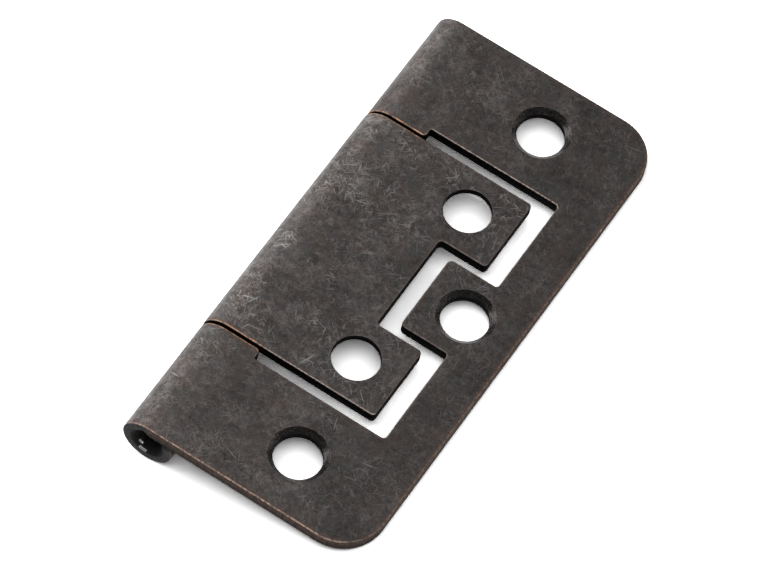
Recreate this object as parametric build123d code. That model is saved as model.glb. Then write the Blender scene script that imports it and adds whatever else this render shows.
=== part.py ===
from build123d import *
import os

# A flush hinge, shut: the inner leaf lies in the window of the outer leaf, both rolled round one pin.
# Millimetres. The origin is on the outer leaf's seat, midway between its two end screw holes.
# +X runs from the pin to the free edge, +Y along the pin, +Z out of the seat, to the seen face.

# Sheet, pin and barrel
SHEET = 1.2                 # thickness of both leaves
PIN_DIAMETER = 2.5
PIN_GRIP_GAP = 0.01         # radial, pin held in the two end knuckles
PIN_RUN_GAP = 0.05          # radial, pin turning in the middle knuckle
PIN_RECESS = 1.0            # pin end below the barrel end
PIN_END_CHAMFER = 0.3
ROLL_SWEEP = 296.0          # degrees of sheet rolled round the pin

# Outer leaf
LENGTH = 51.0               # along the pin
LEAF_WIDTH = 21.3           # pin axis to free edge
FREE_CORNER = 4.2           # radius of the two free corners
RIM_WIDTH = 4.4             # window to free edge
ARM_WIDTH = 11.15           # leaf end to window
KNUCKLE_STEP = 1.0          # end knuckles stand this far into the window
STEP_FROM_PIN = 3.5         # where the knuckle steps back to the arm
TONGUE_WIDTH = 8.2
TONGUE_LENGTH = 4.95

# Inner leaf, set by its gaps to the window
KNUCKLE_GAP = 0.3           # end knuckle to middle knuckle
EDGE_GAP = 1.9              # free edge of the inner leaf to the window
TONGUE_END_GAP = 1.7        # tip of the tongue to the notch
TONGUE_SIDE_GAP = 1.1       # side of the tongue to the notch

# Small corners of the punched outlines
WINDOW_CORNER = 0.6
TONGUE_CORNER = 0.6
ROOT_CORNER = 0.35          # where the tongue meets the window
STEP_CORNER = 0.4
INNER_CORNER = 0.7
NOTCH_CORNER = 0.4
EDGE_ROUND = 0.15           # sheared edge of the seen face

# Screw holes, each in the middle of its arm or tongue
SCREW_HOLE = 4.4
COUNTERSINK = 5.4           # rim, 45 degree wall
END_HOLE_INSET = 9.6        # from the outer leaf's free edge
TONGUE_HOLE_INSET = 5.15    # from the outer leaf's free edge
INNER_HOLE_INSET = 4.35     # from the inner leaf's free edge

# Places that follow from the sizes above
FREE_X = END_HOLE_INSET
PIN_X = FREE_X - LEAF_WIDTH
OUTER_BORE = PIN_DIAMETER / 2 + PIN_GRIP_GAP
MIDDLE_BORE = PIN_DIAMETER / 2 + PIN_RUN_GAP
PIN_Z = -OUTER_BORE
BARREL_X = PIN_X - MIDDLE_BORE - 2 * SHEET
WINDOW_X = FREE_X - RIM_WIDTH
WINDOW_HALF = LENGTH / 2 - ARM_WIDTH
KNUCKLE_INNER = WINDOW_HALF - KNUCKLE_STEP
STEP_X = PIN_X + STEP_FROM_PIN
TONGUE_TIP_X = WINDOW_X - TONGUE_LENGTH
TONGUE_HALF = TONGUE_WIDTH / 2
INNER_EDGE_X = WINDOW_X - EDGE_GAP
INNER_HALF = KNUCKLE_INNER - KNUCKLE_GAP
NOTCH_X = TONGUE_TIP_X - TONGUE_END_GAP
NOTCH_HALF = TONGUE_HALF + TONGUE_SIDE_GAP
COUNTERSINK_DEPTH = (COUNTERSINK - SCREW_HOLE) / 2
END_HOLE_Y = LENGTH / 2 - ARM_WIDTH / 2
INNER_HOLE_Y = (NOTCH_HALF + INNER_HALF) / 2


def area(x_from, x_to, half_width):
    """Plan rectangle between two X places, symmetric about the middle of the hinge."""
    middle = Pos((x_from + x_to) / 2, 0)
    return middle * Rectangle(x_to - x_from, 2 * half_width)


def round_corners(plan, x, y, radius):
    """Plan with its two corners at (x, y) and (x, -y) rounded."""
    corners = [v for v in plan.vertices() if abs(v.X - x) < 1e-4 and abs(abs(v.Y) - y) < 1e-4]
    return fillet(corners, radius)


def rolled_sheet(bore, free_x):
    """Flat sheet of the full length, rolled at its back edge round the pin axis."""
    axis = (PIN_X, PIN_Z)
    skin = CenterArc(axis, bore + SHEET, 90, ROLL_SWEEP)
    inside = CenterArc(axis, bore, 90, ROLL_SWEEP)
    underside = PIN_Z + bore
    outline = [
        skin,
        inside,
        Line(skin @ 1, inside @ 1),
        Line(inside @ 0, (free_x, underside)),
        Line((free_x, underside), (free_x, underside + SHEET)),
        Line((free_x, underside + SHEET), skin @ 0),
    ]
    return extrude(Plane.XZ * make_face(outline), amount=LENGTH / 2, both=True)


def punched(blank, plan):
    """The part of the rolled blank that lies inside a plan outline."""
    return blank & extrude(plan, amount=LENGTH, both=True)


def screw_holes(places, seat_z, head_up):
    """Countersunk holes through a sheet, with the wide end on the upper or the lower face."""
    hole = Cylinder(SCREW_HOLE / 2, 4 * SHEET)
    cone = Cone(SCREW_HOLE / 2, COUNTERSINK / 2 + SHEET, COUNTERSINK_DEPTH + SHEET)
    sink = Pos(0, 0, SHEET / 2 - COUNTERSINK_DEPTH + (COUNTERSINK_DEPTH + SHEET) / 2) * cone
    tool = hole + sink
    if not head_up:
        tool = Rot(180, 0, 0) * tool
    return [Pos(x, y, seat_z + SHEET / 2) * tool for x, y in places]


def ease_skin(leaf, bore):
    """Round the sheared edges of the seen face and of the rolled skin."""
    seen = leaf.faces().filter_by(Axis.Z).sort_by(Axis.Z)[-1]
    rim = [e for e in seen.outer_wire().edges() if abs(e.center().X - PIN_X) > 1e-4]
    skins = leaf.faces().filter_by(GeomType.CYLINDER)
    rolls = [f for f in skins if abs(f.radius - bore - SHEET) < 1e-4 and abs(f.axis_of_rotation.direction.Y) > 0.9]
    ends = [e for f in rolls for e in f.edges() if e.geom_type == GeomType.CIRCLE]
    return fillet(rim + ends, EDGE_ROUND)


def make_outer_leaf():
    plan = area(BARREL_X, FREE_X, LENGTH / 2)
    plan = round_corners(plan, FREE_X, LENGTH / 2, FREE_CORNER)
    window = area(BARREL_X, STEP_X, KNUCKLE_INNER) + area(STEP_X, WINDOW_X, WINDOW_HALF)
    window = round_corners(window, WINDOW_X, WINDOW_HALF, WINDOW_CORNER)
    window = round_corners(window, STEP_X, KNUCKLE_INNER, STEP_CORNER)
    tongue = area(TONGUE_TIP_X, FREE_X, TONGUE_HALF)
    tongue = round_corners(tongue, TONGUE_TIP_X, TONGUE_HALF, TONGUE_CORNER)
    window = round_corners(window - tongue, WINDOW_X, TONGUE_HALF, ROOT_CORNER)
    leaf = punched(rolled_sheet(OUTER_BORE, FREE_X), plan - window)
    leaf = ease_skin(leaf, OUTER_BORE)
    places = [(0, END_HOLE_Y), (0, -END_HOLE_Y), (FREE_X - TONGUE_HOLE_INSET, 0)]
    return leaf - screw_holes(places, 0, head_up=True)


def make_inner_leaf():
    plan = area(BARREL_X, INNER_EDGE_X, INNER_HALF)
    plan = round_corners(plan, INNER_EDGE_X, INNER_HALF, INNER_CORNER)
    plan -= area(NOTCH_X, INNER_EDGE_X, NOTCH_HALF)
    plan = round_corners(plan, NOTCH_X, NOTCH_HALF, NOTCH_CORNER)
    plan = round_corners(plan, INNER_EDGE_X, NOTCH_HALF, NOTCH_CORNER)
    leaf = punched(rolled_sheet(MIDDLE_BORE, INNER_EDGE_X), plan)
    leaf = ease_skin(leaf, MIDDLE_BORE)
    places = [(INNER_EDGE_X - INNER_HOLE_INSET, y) for y in (INNER_HOLE_Y, -INNER_HOLE_Y)]
    return leaf - screw_holes(places, PIN_Z + MIDDLE_BORE, head_up=False)


def make_pin():
    pin = Rot(90, 0, 0) * Cylinder(PIN_DIAMETER / 2, LENGTH - 2 * PIN_RECESS)
    pin = chamfer(pin.edges().filter_by(GeomType.CIRCLE), PIN_END_CHAMFER)
    return Pos(PIN_X, 0, PIN_Z) * pin


os.makedirs("parts", exist_ok=True)
export_step(make_outer_leaf(), "parts/outer_leaf.step")
export_step(make_inner_leaf(), "parts/inner_leaf.step")
export_step(make_pin(), "parts/hinge_pin.step")
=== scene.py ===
import math
import bmesh
import bpy
from mathutils import Matrix, Vector, kdtree


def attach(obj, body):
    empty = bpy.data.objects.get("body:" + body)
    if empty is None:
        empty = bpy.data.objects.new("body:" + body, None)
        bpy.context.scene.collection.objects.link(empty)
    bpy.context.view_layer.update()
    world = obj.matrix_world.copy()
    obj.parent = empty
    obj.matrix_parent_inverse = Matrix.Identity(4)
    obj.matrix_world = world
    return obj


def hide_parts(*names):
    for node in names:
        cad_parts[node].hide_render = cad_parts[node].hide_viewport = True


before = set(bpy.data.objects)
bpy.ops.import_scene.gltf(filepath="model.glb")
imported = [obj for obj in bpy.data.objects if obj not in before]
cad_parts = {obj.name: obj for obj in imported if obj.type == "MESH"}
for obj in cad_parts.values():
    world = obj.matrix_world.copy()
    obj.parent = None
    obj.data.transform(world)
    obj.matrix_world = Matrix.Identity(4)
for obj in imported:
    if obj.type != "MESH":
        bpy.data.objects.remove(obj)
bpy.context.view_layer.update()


# Outer leaf.
# A blank punched from steel strip, with a tongue left standing in its window and two ears at its back edge.
# The ears are rolled round the pin, the edges are tumbled round, and the leaf is copper plated and toned.

SHEET = 1.2                                # millimetres, as all sizes are until hinge_piece
PIN_X, PIN_Z = -11.7, -1.26
ROLL_SWEEP = math.radians(296)
LEAF_END = 25.5                            # half the outer leaf's length along the pin
FREE_X = 9.6                               # the outer leaf's free edge
FREE_CORNER = 4.2                          # radius
WINDOW_X, WINDOW_Y = 5.2, 14.35            # the window's far side, and half its length
STEP_X, STEP_Y = -8.2, 13.35               # where the end knuckles stand into the window
TONGUE_X, TONGUE_Y = 0.25, 4.1             # the tongue's tip, and half its width
KNUCKLE_GAP = 13.2                         # middle of the gaps between the knuckles, along the pin
SCREW_HOLE = 2.2                           # radius
SINK_DEPTH = 0.5
HOLE_REACH = 1.5 * SCREW_HOLE              # from a hole's middle, past its rim and short of any other edge
RIM_ROUND = 0.09
RIM_STEPS = 4
RIM_BAND = 0.1                             # flat strip next to a rounded rim
MOUTH_FLARE = 0.42                         # how far the barrel's mouth opens
MOUTH_DEPTH = 0.8
RULE_STEP = 0.5                            # ruled lines on the flat
ROLL_STEP = math.radians(5)                # ruled lines on the roll
MOUTH_RULES = (0.2, 0.3, 0.4, 0.6, 0.7)    # further ruled lines, from the leaf's ends
RULE_SNAP = 0.002                          # points this near to a ruled line count as on it


def punch_blank(outline, holes):
    """Flat blank: an outline of x, y and corner radius, with round holes at x, y."""
    blank = bmesh.new()
    corners = [blank.verts.new((x, y, 0)) for x, y, radius in outline]
    blank.faces.new(corners)
    for corner, (x, y, radius) in zip(corners, outline):
        bmesh.ops.bevel(blank, geom=[corner], affect="VERTICES", offset=radius, offset_type="OFFSET",
                        segments=6 + round(4 * radius), profile=0.5, material=-1)
    bmesh.ops.delete(blank, geom=blank.faces[:], context="FACES_ONLY")
    for x, y in holes:
        bmesh.ops.create_circle(blank, segments=80, radius=SCREW_HOLE, matrix=Matrix.Translation((x, y, 0)))
    bmesh.ops.triangle_fill(blank, use_beauty=True, edges=blank.edges[:])
    return blank


def corners_of(face):
    """The points of a face that is made of several panes, each once."""
    return list(dict.fromkeys(v for pane in face for v in pane.verts))


def lift(plate, face, height):
    """Raises a copy of a face of the plate, with a wall below its edge, and returns the copy."""
    made = bmesh.ops.extrude_face_region(plate, geom=face, use_keep_orig=True)["geom"]
    corners = [g for g in made if isinstance(g, bmesh.types.BMVert)]
    bmesh.ops.translate(plate, verts=corners, vec=(0, 0, height))
    return [g for g in made if isinstance(g, bmesh.types.BMFace)]


def refill(plate, face):
    """Fills a flat face of the plate anew from its border, and returns the new face."""
    inside = set(face)
    edges = dict.fromkeys(e for pane in face for e in pane.edges)
    border = [e for e in edges if not inside.issuperset(e.link_faces)]
    bmesh.ops.delete(plate, geom=face, context="FACES")
    made = bmesh.ops.triangle_fill(plate, use_beauty=True, edges=border)["geom"]
    bmesh.ops.recalc_face_normals(plate, faces=plate.faces[:])
    return [g for g in made if isinstance(g, bmesh.types.BMFace)]


def flare(plate, face, holes, radius):
    """Opens the edge of each screw hole in a face to a radius."""
    corners = corners_of(face)
    for x, y in holes:
        ring = [v for v in corners if math.hypot(v.co.x - x, v.co.y - y) < HOLE_REACH]
        share = radius / math.hypot(ring[0].co.x - x, ring[0].co.y - y)
        bmesh.ops.scale(plate, verts=ring, vec=(share, share, 1), space=Matrix.Translation((-x, -y, 0)))


def in_hole(v, holes, radius):
    """Whether a point of the plate lies within a radius of a screw hole's middle."""
    return any(math.hypot(v.co.x - x, v.co.y - y) < radius for x, y in holes)


def round_rim(plate, face, up, holes, sunk):
    """Rounds the sheared rim of a face step by step. Countersinks run on at 45 degrees, to a sharp edge."""
    worn = plate.verts.layers.float["worn"]
    wide = SCREW_HOLE + SINK_DEPTH - RIM_ROUND
    turn = math.pi / 2 / RIM_STEPS
    for step in range(RIM_STEPS):
        low, high = turn * step, turn * (step + 1)
        inward = RIM_ROUND * (math.cos(low) - math.cos(high))
        rise = RIM_ROUND * (math.sin(high) - math.sin(low))
        bmesh.ops.inset_region(plate, faces=face, thickness=inward, use_boundary=True, use_even_offset=True)
        corners = corners_of(face)
        bmesh.ops.translate(plate, verts=corners, vec=(0, 0, up * rise))
        wide += rise
        if sunk:
            flare(plate, face, holes, wide)
        for v in corners:
            v[worn] = not in_hole(v, holes, HOLE_REACH)
        face = refill(plate, face)
    bmesh.ops.inset_region(plate, faces=face, thickness=RIM_BAND, use_boundary=True, use_even_offset=True)
    for v in corners_of(face):
        v[worn] = 0
    refill(plate, face)


def stamp_plate(outline, holes):
    """Plate with plain holes in its lower face and countersinks in its upper one, and both rims rounded.
    Its sheared walls get the second finish, and its countersinks the third."""
    plate = punch_blank(outline, holes)
    plate.verts.layers.float.new("worn")
    lower = plate.faces[:]
    bmesh.ops.translate(plate, verts=plate.verts[:], vec=(0, 0, RIM_ROUND))
    sink_foot = lift(plate, lower, SHEET - SINK_DEPTH - RIM_ROUND)
    upper = lift(plate, sink_foot, SINK_DEPTH - RIM_ROUND)
    bmesh.ops.delete(plate, geom=sink_foot, context="FACES")
    flare(plate, upper, holes, SCREW_HOLE + SINK_DEPTH - RIM_ROUND)
    upper = refill(plate, upper)
    round_rim(plate, lower, -1, holes, False)
    round_rim(plate, upper, 1, holes, True)
    for pane in plate.faces:
        slope = abs(pane.normal.z)
        bored = all(in_hole(v, holes, SCREW_HOLE + SINK_DEPTH + 0.01) for v in pane.verts)
        if slope < 0.3:
            pane.material_index = 1
        elif slope < 0.95 and bored:
            pane.material_index = 2
    return plate


def rule_lines(plate, bore):
    """Cuts the plate along fine ruled lines, close together where it will be rolled and belled."""
    low_x = min(v.co.x for v in plate.verts)
    high_x = max(v.co.x for v in plate.verts)
    high_y = max(v.co.y for v in plate.verts)
    roll_step = (bore + SHEET) * ROLL_STEP
    rolled = [PIN_X - roll_step * i for i in range(int((PIN_X - low_x) / roll_step) + 1)]
    flat = [PIN_X + RULE_STEP * i for i in range(1, int((high_x - PIN_X) / RULE_STEP) + 1)]
    cross = [RULE_STEP * i for i in range(-int(high_y / RULE_STEP), int(high_y / RULE_STEP) + 1)]
    cross += [side * (high_y - inset) for side in (-1, 1) for inset in MOUTH_RULES]
    lines = [((x, 0, 0), (1, 0, 0)) for x in rolled + flat] + [((0, y, 0), (0, 1, 0)) for y in cross]
    for place, normal in lines:
        everything = plate.verts[:] + plate.edges[:] + plate.faces[:]
        bmesh.ops.bisect_plane(plate, geom=everything, dist=RULE_SNAP, plane_co=place, plane_no=normal)


def note_wear(plate, holes, hole_rim):
    """Keeps each point's place on the flat sheet, and how far it is from a worn rim and from a hole's rim."""
    worn = plate.verts.layers.float["worn"]
    sheet = plate.verts.layers.float_vector.new("sheet")
    rim = plate.verts.layers.float.new("rim")
    hole = plate.verts.layers.float.new("hole")
    rims = [v for v in plate.verts if v[worn] > 0.99]
    near = kdtree.KDTree(len(rims))
    for i, v in enumerate(rims):
        near.insert(v.co, i)
    near.balance()
    for v in plate.verts:
        v[sheet] = v.co
        v[rim] = near.find(v.co)[2]
        v[hole] = min(math.hypot(v.co.x - x, v.co.y - y) for x, y in holes) - hole_rim


def roll_ears(plate, bore):
    """Rolls what stands behind the pin round it, and bells the bore at the leaf's ends."""
    end = max(v.co.y for v in plate.verts)
    seat = min(v.co.z for v in plate.verts)
    for pane in plate.faces:
        pane.smooth = abs(pane.normal.z) < 0.9999 or pane.calc_center_median().x < PIN_X
    for v in plate.verts:
        turn = (PIN_X - v.co.x) / (bore + SHEET)
        if turn > 0:
            mouth = max(0, 1 - (end - abs(v.co.y)) / MOUTH_DEPTH) ** 2 * min(1, 4 * turn)
            reach = v.co.z - PIN_Z + MOUTH_FLARE * mouth * (1 - (v.co.z - seat) / SHEET)
            v.co.x = PIN_X - reach * math.sin(turn)
            v.co.z = PIN_Z + reach * math.cos(turn)


def hinge_piece(name, shape, body, node):
    """The finished mesh in metres, in place of its CAD node and on its body."""
    bmesh.ops.scale(shape, verts=shape.verts[:], vec=(0.001, 0.001, 0.001))
    bmesh.ops.recalc_face_normals(shape, faces=shape.faces[:])
    mesh = bpy.data.meshes.new(name)
    shape.to_mesh(mesh)
    shape.free()
    mesh.set_sharp_from_angle(angle=math.radians(35))
    piece = bpy.data.objects.new(name, mesh)
    bpy.context.scene.collection.objects.link(piece)
    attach(piece, body)
    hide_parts(node)
    return piece


class Wire:
    """A value in a finish's node tree. Arithmetic on it adds Math nodes."""

    def __init__(self, tree, socket=None):
        self.tree, self.socket = tree, socket

    def node(self, kind, settings=None, sockets=None, out=0):
        made = self.tree.nodes.new(kind)
        for name, value in (settings or {}).items():
            if name == "stops":
                ramp = made.color_ramp.elements
                while len(ramp) < len(value):
                    ramp.new(0.5)
                for stop, (place, colour) in zip(ramp, value):
                    stop.position, stop.color = place, (*colour, 1)
            else:
                setattr(made, name, value)
        for name, value in (sockets or {}).items():
            if isinstance(value, Wire):
                value.into(made.inputs[name])
            else:
                made.inputs[name].default_value = value
        return Wire(self.tree, made.outputs[out])

    def into(self, socket):
        """Links this value to a socket."""
        self.tree.links.new(self.socket, socket)

    def math(self, operation, first, second=0.0):
        return self.node("ShaderNodeMath", {"operation": operation}, {0: first, 1: second})

    def __add__(self, other):
        return self.math("ADD", self, other)

    def __radd__(self, other):
        return self.math("ADD", other, self)

    def __sub__(self, other):
        return self.math("SUBTRACT", self, other)

    def __rsub__(self, other):
        return self.math("SUBTRACT", other, self)

    def __mul__(self, other):
        return self.math("MULTIPLY", self, other)

    def __rmul__(self, other):
        return self.math("MULTIPLY", other, self)

    def __abs__(self):
        return self.math("ABSOLUTE", self)

    def most(self, other):
        return self.math("MAXIMUM", self, other)

    def rise(self, start, end):
        """0 before start, 1 past end, and a smooth step between them. End may lie below start."""
        return self.node("ShaderNodeMapRange", {"interpolation_type": "SMOOTHSTEP"},
                         {"Value": self, "From Min": start, "From Max": end})

    def blend(self, share, colour):
        """This colour with a share of another over it."""
        over = colour if isinstance(colour, Wire) else (*colour, 1)
        return self.node("ShaderNodeMix", {"data_type": "RGBA"}, {0: share, 6: self, 7: over}, out=2)

    def ramp(self, *stops):
        """Colours along this value."""
        return self.node("ShaderNodeValToRGB", {"stops": stops}, {"Fac": self})

    def stretch(self, x, y, z):
        """This place with its axes scaled."""
        return self.node("ShaderNodeMapping", {}, {"Vector": self, "Scale": (x, y, z)})

    def noise(self, scale, detail, rough=0.5, warp=0.0, out=0):
        """Soft noise over this place."""
        return self.node("ShaderNodeTexNoise", {}, {"Vector": self, "Scale": scale, "Detail": detail,
                                                    "Roughness": rough, "Distortion": warp}, out)

    def axes(self):
        """The three numbers of this place."""
        return [self.node("ShaderNodeSeparateXYZ", {}, {0: self}, out=axis) for axis in "XYZ"]


def new_finish(name):
    """A finish, its shader, and a wire to start its nodes from."""
    finish = bpy.data.materials.new(name)
    finish.use_nodes = True
    return finish, finish.node_tree.nodes["Principled BSDF"], Wire(finish.node_tree)


def toned_copper(name, seed, scuffed, highlight_edge):
    """Dark toned copper plate: mottled greys, hairline scuffs, bare copper where the rims are rubbed, and
    painted light: highlights on the rims and in the barrel's mouth, a sheen on the barrel, and shade inside
    the barrel and towards the free edge.
    """
    finish, shader, w = new_finish(name)
    sheet = w.node("ShaderNodeAttribute", {"attribute_name": "sheet"}, out="Vector")
    rim = w.node("ShaderNodeAttribute", {"attribute_name": "rim"}, out="Fac")
    hole = w.node("ShaderNodeAttribute", {"attribute_name": "hole"}, out="Fac")
    across, along, depth = sheet.axes()
    swirl = sheet.noise(1.2, 2.0, out="Color")
    bent = w.node("ShaderNodeVectorMath", {"operation": "MULTIPLY_ADD"},
                  {0: swirl, 1: (0.55, 0.55, 0.55), 2: sheet})

    def cloud(scale, detail=3.0, shift=0.0, rough=0.55, warp=0.0):
        """Soft noise over the sheet, shifted to a place of its own."""
        place = (seed + shift, 3 * seed - shift, shift)
        spot = w.node("ShaderNodeMapping", {}, {"Vector": sheet, "Location": place})
        return spot.noise(scale, detail, rough, warp)

    def strokes(path, turn, length, width, shift, sparse):
        """Scratches along one direction of a path over the sheet."""
        spot = w.node("ShaderNodeMapping", {"vector_type": "TEXTURE"},
                      {"Vector": path, "Location": (seed + shift, shift, 0),
                       "Rotation": (0, 0, math.radians(turn)), "Scale": (length, width, 2.0)})
        return spot.noise(1.0, 0.0).rise(sparse, sparse + 0.05)

    def hairs(scale, width, shift):
        """Curly hairlines: level lines of a smooth noise, broken up by another."""
        line = abs(cloud(scale, 0.0, shift) - 0.5).rise(width, 0.0)
        return line * cloud(1.4 * scale, 1.0, shift + 5.0).rise(0.50, 0.60)

    # Toning: mottled, with fine grain, light flecks, dark pits, and drifts of brown, green and violet grey.
    mottle = 0.45 * cloud(0.35, 4.0, 1.0) + 0.55 * cloud(1.6, 4.0, 2.0, 0.65)
    grain = cloud(5.0, 3.0, 4.0, 0.75, warp=1.5)
    fleck = cloud(6.5, 1.0, 71.0, warp=0.8).rise(0.60, 0.70)
    pit = cloud(5.5, 1.0, 73.0, warp=0.8).rise(0.40, 0.30)
    tone = 0.5 + 1.5 * (mottle - 0.5) + 0.9 * (grain - 0.5) + 0.19 * fleck - 0.22 * pit
    patina = tone.ramp((0.22, (0.015, 0.0125, 0.0118)), (0.50, (0.043, 0.0363, 0.0340)),
                       (0.80, (0.110, 0.098, 0.093)))
    patina = patina.blend(0.40 * cloud(0.6, 3.0, 11.0).rise(0.48, 0.64), (0.056, 0.0405, 0.0335))
    patina = patina.blend(0.40 * cloud(0.7, 3.0, 15.0).rise(0.50, 0.62), (0.038, 0.0395, 0.038))
    patina = patina.blend(0.35 * cloud(0.9, 2.0, 17.0).rise(0.54, 0.66), (0.043, 0.0375, 0.041))

    # Scuffs: short bent strokes and straighter scratches every way, most of them along the top of the barrel.
    scuff = 0.6 * hairs(1.1, 0.05, 61.0)
    for turn, shift, force in ((8, 21.0, 0.5), (31, 23.0, 1.0), (52, 25.0, 0.7), (74, 27.0, 0.4),
                               (97, 29.0, 0.9), (119, 31.0, 0.5), (141, 33.0, 1.0), (166, 35.0, 0.6)):
        scuff = scuff.most(force * strokes(bent, turn, 0.9, 0.16, shift, 0.71))
    scratch = strokes(sheet, 14, 2.2, 0.12, 41.0, 0.79)
    for turn, shift in ((39, 42.0), (68, 43.0), (88, 44.0), (112, 45.0), (137, 46.0), (163, 47.0)):
        scratch = scratch.most(strokes(sheet, turn, 2.2, 0.12, shift, 0.79))
    ridge = across.rise(PIN_X + 2.7, PIN_X - 2.8) * across.rise(PIN_X - 7.8, PIN_X - 5.3)
    handled = (0.7 * ridge).most(scuffed)
    handled = handled * (0.25 + 0.75 * cloud(0.25, 2.0, 49.0).rise(0.38, 0.62))
    scuff = scuff * handled * (0.4 + 0.6 * cloud(1.0, 1.0, 59.0).rise(0.35, 0.68))
    scratch = scratch * handled * cloud(0.5, 1.0, 63.0).rise(0.42, 0.62)
    colour = patina.blend(0.80 * scuff, (0.20, 0.19, 0.185))
    colour = colour.blend(0.80 * scratch, (0.26, 0.255, 0.25))

    # Polish and painted light: the toning is rubbed thin along the ridge, and left dull inside the barrel.
    inside = across.rise(PIN_X, PIN_X - 0.4) * depth.rise(0.9, 0.3)
    # Painted light in the colour: the ridge is lightened beyond its rubbing as a painted sheen, the colour
    # darkens a little towards the free edge as painted shade, and inside the barrel it is made dark as
    # painted shade.
    rub_and_painted_light = (1.0 - 0.016 * across + 0.95 * ridge) * (1.0 - 0.90 * inside)
    colour = w.node("ShaderNodeVectorMath", {"operation": "SCALE"}, {0: colour, "Scale": rub_and_painted_light})

    # Rims: bare copper at the knuckles' gaps and one end, a brown halo behind it, nicks round the holes, and
    # painted highlights along the rims.
    gap = abs(abs(along) - KNUCKLE_GAP).rise(0.9, 0.6) * across.rise(STEP_X + 0.6, STEP_X - 0.6)
    near_end = along.rise(1.2 - LEAF_END, 0.4 - LEAF_END) * across.rise(PIN_X - 3.8, PIN_X - 1.3)
    free_edge = across.rise(FREE_X - 1.4, FREE_X - 0.4)
    corner = across.rise(FREE_X - 5.6, FREE_X - 1.6)
    upper = depth.rise(0.75, 1.0)
    crest = rim.rise(0.05, 0.0)
    broken = cloud(3.2, 3.0, 51.0).rise(0.36, 0.60)
    rub = (0.02 + 0.09 * cloud(2.0, 2.0, 53.0) + 0.04 * corner - rim).rise(0.0, 0.05) * broken
    rub = rub * upper * (0.10 + 0.90 * gap.most((0.85 - 0.35 * corner) * near_end).most(0.22 * free_edge))
    speckle = cloud(4.5, 2.0, 57.0).rise(0.42, 0.58)
    halo = (0.45 * cloud(1.6, 4.0, 55.0, 0.7) + 0.35 - 0.55 * rim).rise(0.30, 0.60) * (0.35 + 0.65 * speckle)
    halo = halo * upper * (0.30 + 0.70 * gap.most(near_end).most(free_edge))
    colour = colour.blend(0.70 * halo, (0.100, 0.056, 0.040))
    # Painted highlight: a pale grey line along the crests of the upper rims, fainter at the free edge.
    lit_rim = crest * (0.35 + 0.65 * broken) * upper
    colour = colour.blend(0.50 * lit_rim * (1.0 - 0.8 * free_edge), (0.17, 0.150, 0.142))
    # Painted highlight: a pale copper-tinted line along the one edge named in the call, which faces the
    # front.
    painted_edge_highlight = abs(along - highlight_edge).rise(0.3, 0.2) * across.rise(STEP_X - 0.1, STEP_X + 0.6)
    painted_edge_highlight = painted_edge_highlight * rim.rise(0.03, 0.0) * upper * cloud(4.5, 3.0, 81.0, 0.7).rise(0.36, 0.62)
    colour = colour.blend(0.80 * painted_edge_highlight, (0.46, 0.37, 0.33))
    nick = (0.02 + 0.14 * cloud(1.1, 2.0, 75.0) - hole).rise(0.0, 0.06)
    nick = nick * cloud(3.0, 2.0, 77.0).rise(0.50, 0.62)
    colour = colour.blend(0.75 * nick * upper, (0.17, 0.095, 0.070))
    colour = colour.blend(0.85 * rub, (0.42, 0.29, 0.22))
    colour = colour.blend(0.80 * rub * gap * cloud(1.5, 2.0, 79.0).rise(0.38, 0.56), (0.46, 0.235, 0.12))

    # Mouth: two painted highlights, near-white arcs low in the near end of the barrel.
    deep_arc = abs(along - (0.42 - LEAF_END)).rise(0.10, 0.05) * abs(across - (PIN_X - 6.3)).rise(0.50, 0.30)
    lip_arc = abs(along - (0.11 - LEAF_END)).rise(0.10, 0.05) * abs(across - (PIN_X - 7.2)).rise(0.65, 0.45)
    glint = deep_arc.most(lip_arc) * depth.rise(0.45, 0.30)
    colour = colour.blend(glint, (0.97, 0.96, 0.95))

    colour.into(shader.inputs["Base Color"])
    metal = 0.25 + 0.35 * rub.most(lit_rim) * (1.0 - 0.8 * free_edge) - 0.2 * inside + 0.9 * glint
    metal.into(shader.inputs["Metallic"])
    satin = 0.44 - 0.25 * (tone - 0.5) - 0.05 * scuff - 0.10 * crest + 0.45 * inside - 0.60 * glint
    satin.into(shader.inputs["Roughness"])
    height = 0.5 * grain + 0.25 * mottle + 0.35 * scuff
    bump = w.node("ShaderNodeBump", {}, {"Strength": 0.35, "Distance": 0.00003, "Height": height})
    bump.into(shader.inputs["Normal"])
    shader.inputs["Specular IOR Level"].default_value = 0.22
    return finish


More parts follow.
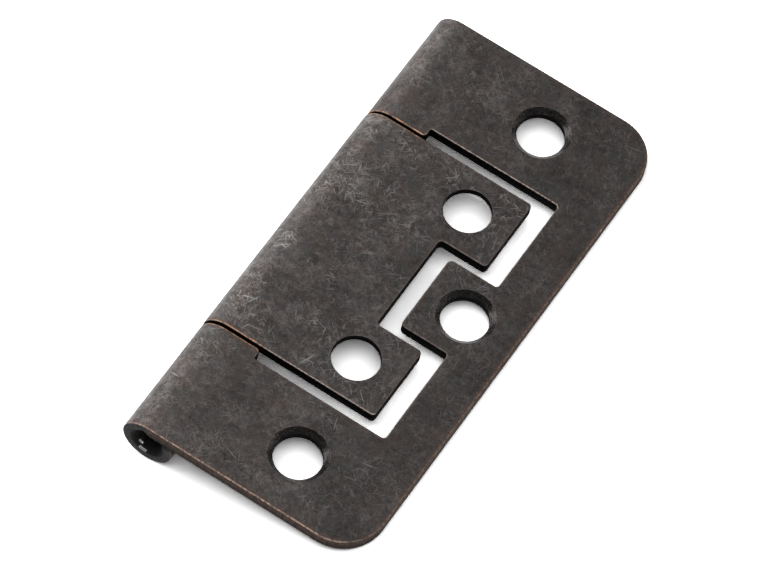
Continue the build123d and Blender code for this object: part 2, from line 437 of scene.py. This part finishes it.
def sheared_edge():
    """The sheared walls: torn across the sheet and matt, brown at the leaf's outside and darker towards its
    foot as painted shade, grey at the barrel's ends, and black as painted shade in the window and the holes."""
    finish, shader, w = new_finish("sheared_edge")
    sheet = w.node("ShaderNodeAttribute", {"attribute_name": "sheet"}, out="Vector")
    across, along, depth = sheet.axes()
    along = abs(along)
    torn = sheet.stretch(9, 9, 1.2).noise(1.0, 3.0)
    patchy = 0.5 * torn + 0.5 * sheet.noise(2.2, 3.0)
    painted_shade_and_wire_smut = patchy.ramp((0.3, (0.001, 0.0009, 0.0008)), (0.7, (0.004, 0.0034, 0.0032)))
    brown = patchy.ramp((0.3, (0.024, 0.0175, 0.0155)), (0.7, (0.135, 0.094, 0.077)))
    grey = patchy.ramp((0.3, (0.020, 0.0195, 0.0198)), (0.7, (0.105, 0.101, 0.102)))
    rolled = across.rise(PIN_X + 0.7, PIN_X - 1.3)
    outside = across.rise(FREE_X - 1.1, FREE_X - 0.6).most(along.rise(LEAF_END - 0.9, LEAF_END - 0.5))
    outside = outside.most((across + along).rise(25.5, 27.0))
    # Painted shade: the walls in the window and the holes are near black, and the brown of the outside walls
    # gives way to it towards their foot.
    colour = painted_shade_and_wire_smut.blend(outside * depth.rise(-0.4, 1.1).most(0.8 * rolled), brown.blend(rolled, grey))
    colour.into(shader.inputs["Base Color"])
    rough = 0.70 + 0.20 * torn - 0.15 * outside
    rough.into(shader.inputs["Roughness"])
    bump = w.node("ShaderNodeBump", {}, {"Strength": 0.5, "Distance": 0.00004, "Height": torn})
    bump.into(shader.inputs["Normal"])
    shader.inputs["Specular IOR Level"].default_value = 0.04
    return finish


def turned_cone():
    """The countersinks: turned by a drill point, with rings of chatter and streaks, then toned dark."""
    finish, shader, w = new_finish("turned_cone")
    sheet = w.node("ShaderNodeAttribute", {"attribute_name": "sheet"}, out="Vector")
    rings = sheet.stretch(1.2, 1.2, 14).noise(1.0, 3.0)
    streaks = sheet.stretch(5, 5, 2).noise(1.0, 3.0)
    colour = (0.5 * rings + 0.5 * streaks).ramp((0.3, (0.012, 0.0105, 0.010)), (0.7, (0.15, 0.140, 0.135)))
    colour.into(shader.inputs["Base Color"])
    rough = 0.15 + 0.20 * streaks
    rough.into(shader.inputs["Roughness"])
    bump = w.node("ShaderNodeBump", {}, {"Strength": 0.4, "Distance": 0.00003, "Height": rings})
    bump.into(shader.inputs["Normal"])
    shader.inputs["Metallic"].default_value = 0.95
    return finish


outer_bore = 1.26
outer_tip = PIN_X - ROLL_SWEEP * (outer_bore + SHEET)
outer_half = [(outer_tip, LEAF_END, 0.4), (outer_tip, STEP_Y, 0.4), (STEP_X, STEP_Y, 0.4),
              (STEP_X, WINDOW_Y, 0.15), (WINDOW_X, WINDOW_Y, 0.35), (WINDOW_X, TONGUE_Y, 0.35),
              (TONGUE_X, TONGUE_Y, 0.5)]
outer_outline = outer_half + [(x, -y, radius) for x, y, radius in reversed(outer_half)]
outer_outline += [(FREE_X, -LEAF_END, FREE_CORNER), (FREE_X, LEAF_END, FREE_CORNER)]
end_hole_y = 19.925
tongue_hole_x = 4.45
outer_holes = [(0, end_hole_y), (0, -end_hole_y), (tongue_hole_x, 0)]
outer_shape = stamp_plate(outer_outline, outer_holes)
rule_lines(outer_shape, outer_bore)
note_wear(outer_shape, outer_holes, SCREW_HOLE + SINK_DEPTH)
roll_ears(outer_shape, outer_bore)
outer_leaf = hinge_piece("OuterLeaf", outer_shape, "fixed_leaf", "outer_leaf")
edge_finish = sheared_edge()
sink_finish = turned_cone()
outer_finish = toned_copper("toned_copper_outer", seed=3.0, scuffed=0.45, highlight_edge=WINDOW_Y)
for finish in (outer_finish, edge_finish, sink_finish):
    outer_leaf.data.materials.append(finish)


# Inner leaf.
# A second blank of the same strip, notched to pass round the tongue, with one ear rolled as middle knuckle.
# It lies in the outer leaf's window, and its two holes are countersunk from below, where its screw heads go.

inner_bore = 1.30
inner_tip = PIN_X - ROLL_SWEEP * (inner_bore + SHEET)
inner_x, inner_y = 3.3, 13.05              # the inner leaf's free edge, and half its length
notch_x, notch_y = -1.45, 5.2              # the notch's foot, and half its width
inner_half = [(notch_x, notch_y, 0.4), (inner_x, notch_y, 0.4), (inner_x, inner_y, 0.4),
              (inner_tip, inner_y, 0.4)]
inner_outline = [(x, -y, radius) for x, y, radius in reversed(inner_half)] + inner_half
inner_hole_x, inner_hole_y = -1.05, 9.125
inner_holes = [(inner_hole_x, inner_hole_y), (inner_hole_x, -inner_hole_y)]
inner_shape = stamp_plate(inner_outline, inner_holes)
bmesh.ops.scale(inner_shape, verts=inner_shape.verts[:], vec=(1, 1, -1))
bmesh.ops.translate(inner_shape, verts=inner_shape.verts[:], vec=(0, 0, SHEET + PIN_Z + inner_bore))
bmesh.ops.recalc_face_normals(inner_shape, faces=inner_shape.faces[:])
rule_lines(inner_shape, inner_bore)
note_wear(inner_shape, inner_holes, SCREW_HOLE)
roll_ears(inner_shape, inner_bore)
inner_leaf = hinge_piece("InnerLeaf", inner_shape, "swinging_leaf", "inner_leaf")
inner_finish = toned_copper("toned_copper_inner", seed=8.0, scuffed=0.9, highlight_edge=-inner_y)
for finish in (inner_finish, edge_finish, sink_finish):
    inner_leaf.data.materials.append(finish)


# Hinge pin.
# Drawn steel wire, cropped to length and set back in the barrel, where the two end knuckles grip it.
# Its crop leaves a bright bevelled edge.

pin_half = 24.5
pin_radius = 1.25
pin_line = [(0.0, -pin_half), (0.72, -pin_half), (0.95, -pin_half + 0.03), (1.18, -pin_half + 0.22),
            (pin_radius, -pin_half + 0.42), (pin_radius, 0.0)]
pin_line += [(radius, -along) for radius, along in reversed(pin_line[:-1])]
pin_shape = bmesh.new()
pin_points = [pin_shape.verts.new((radius, along, 0)) for radius, along in pin_line]
pin_edges = [pin_shape.edges.new(pair) for pair in zip(pin_points, pin_points[1:])]
bmesh.ops.spin(pin_shape, geom=pin_points + pin_edges, cent=(0, 0, 0), axis=(0, 1, 0), dvec=(0, 0, 0),
               angle=math.tau, steps=64, use_merge=True)
bmesh.ops.remove_doubles(pin_shape, verts=pin_shape.verts[:], dist=0.0005)
for face in pin_shape.faces:
    face.smooth = True
bmesh.ops.translate(pin_shape, verts=pin_shape.verts[:], vec=(PIN_X, 0, PIN_Z))
hinge_pin = hinge_piece("HingePin", pin_shape, "fixed_leaf", "hinge_pin")

wire_steel, wire_shader, w = new_finish("drawn_wire_steel")
wire_place = w.node("ShaderNodeTexCoord", out="Object")
drawn = wire_place.stretch(9000, 250, 9000).noise(1.0, 3.0)
painted_shade_and_wire_smut = wire_place.noise(1100.0, 4.0)
wire_colour = (0.6 * drawn + 0.4 * painted_shade_and_wire_smut).ramp((0.3, (0.05, 0.045, 0.043)), (0.7, (0.17, 0.155, 0.145)))
wire_colour.into(wire_shader.inputs["Base Color"])
wire_rough = 0.22 + 0.25 * painted_shade_and_wire_smut
wire_rough.into(wire_shader.inputs["Roughness"])
wire_bump = w.node("ShaderNodeBump", {}, {"Strength": 0.3, "Distance": 0.00002, "Height": drawn})
wire_bump.into(wire_shader.inputs["Normal"])
wire_shader.inputs["Metallic"].default_value = 0.9
hinge_pin.data.materials.append(wire_steel)


# The white table.
# The hinge lies on the barrel and on its free edge, so the table is tipped a little under the leaves.
# It is plain and matt, and clear from below so that the hidden faces can be seen.

table_tilt = math.radians(10.11)
free_edge_x = 0.0096
table_gap = 0.00003
table_mesh = bpy.data.meshes.new("Table")
table_shape = bmesh.new()
bmesh.ops.create_grid(table_shape, x_segments=1, y_segments=1, size=1.5)
bmesh.ops.rotate(table_shape, verts=table_shape.verts[:], cent=(0, 0, 0),
                 matrix=Matrix.Rotation(-table_tilt, 3, "Y"))
bmesh.ops.translate(table_shape, verts=table_shape.verts[:], vec=(free_edge_x, 0, -table_gap))
table_shape.to_mesh(table_mesh)
table_shape.free()
table = bpy.data.objects.new("Table", table_mesh)
bpy.context.scene.collection.objects.link(table)

paper, paper_shader, w = new_finish("white_table")
seen = w.node("ShaderNodeLightPath", out="Is Camera Ray")
seen = seen.most(w.node("ShaderNodeLightPath", out="Is Transmission Ray"))
mirrored = w.node("ShaderNodeLightPath", out="Is Glossy Ray")
white = w.node("ShaderNodeMix", {"data_type": "RGBA"},
               {0: mirrored, 6: (0.93, 0.93, 0.93, 1), 7: (1.4, 1.4, 1.4, 1)}, out=2)
white.blend(seen, (1.85, 1.85, 1.85)).into(paper_shader.inputs["Base Color"])
glow = 0.04 * seen
glow.into(paper_shader.inputs["Emission Color"])
paper_shader.inputs["Emission Strength"].default_value = 1.0
paper_shader.inputs["Roughness"].default_value = 1.0
paper_shader.inputs["Specular IOR Level"].default_value = 0.0
below = w.node("ShaderNodeNewGeometry", out="Backfacing")
clear = w.node("ShaderNodeBsdfTransparent")
two_sided = w.node("ShaderNodeMixShader", {}, {0: below, 1: Wire(w.tree, paper_shader.outputs[0]), 2: clear})
two_sided.into(paper.node_tree.nodes["Material Output"].inputs["Surface"])
table_mesh.materials.append(paper)


# Studio light and camera.
# A wide soft box hangs above and a little before the hinge, with a white wall to its left, in a dim room.
# The camera stands where the photograph was taken from, with a long lens.

studio = bpy.data.worlds.new("Studio")
studio.use_nodes = True
room = studio.node_tree.nodes["Background"].inputs
room["Color"].default_value = (1, 1, 1, 1)
room["Strength"].default_value = 0.08
bpy.context.scene.world = studio


def soft_box(name, place, aim, width, height, power):
    """A flat soft light that faces a point."""
    lamp = bpy.data.lights.new(name, "AREA")
    lamp.shape = "RECTANGLE"
    lamp.size, lamp.size_y, lamp.energy = width, height, power
    box = bpy.data.objects.new(name, lamp)
    box.location = place
    box.rotation_euler = (Vector(aim) - Vector(place)).to_track_quat("-Z", "Y").to_euler()
    bpy.context.scene.collection.objects.link(box)


soft_box("LeftWall", place=(-0.56, 0.15, 0.34), aim=(0, 0, 0), width=1.0, height=0.6, power=3.8)
soft_box("TopBox", place=(0.04, -0.10, 0.60), aim=(0.04, -0.10, 0), width=0.6, height=0.6, power=3.1)

bpy.context.scene.view_settings.view_transform = "Standard"
camera_data = bpy.data.cameras.new("Camera")
camera_data.sensor_width = 36
camera_data.lens = 240
camera_data.clip_start, camera_data.clip_end = 0.05, 5
camera = bpy.data.objects.new("Camera", camera_data)
camera_turn = Matrix(((0.837881, -0.514054, 0.183587),
                      (0.534026, 0.702339, -0.470676),
                      (0.113012, 0.492411, 0.862995)))
camera.location = (0.080678, -0.214628, 0.392010)
camera.rotation_euler = camera_turn.to_euler()
bpy.context.scene.collection.objects.link(camera)
bpy.context.scene.camera = camera
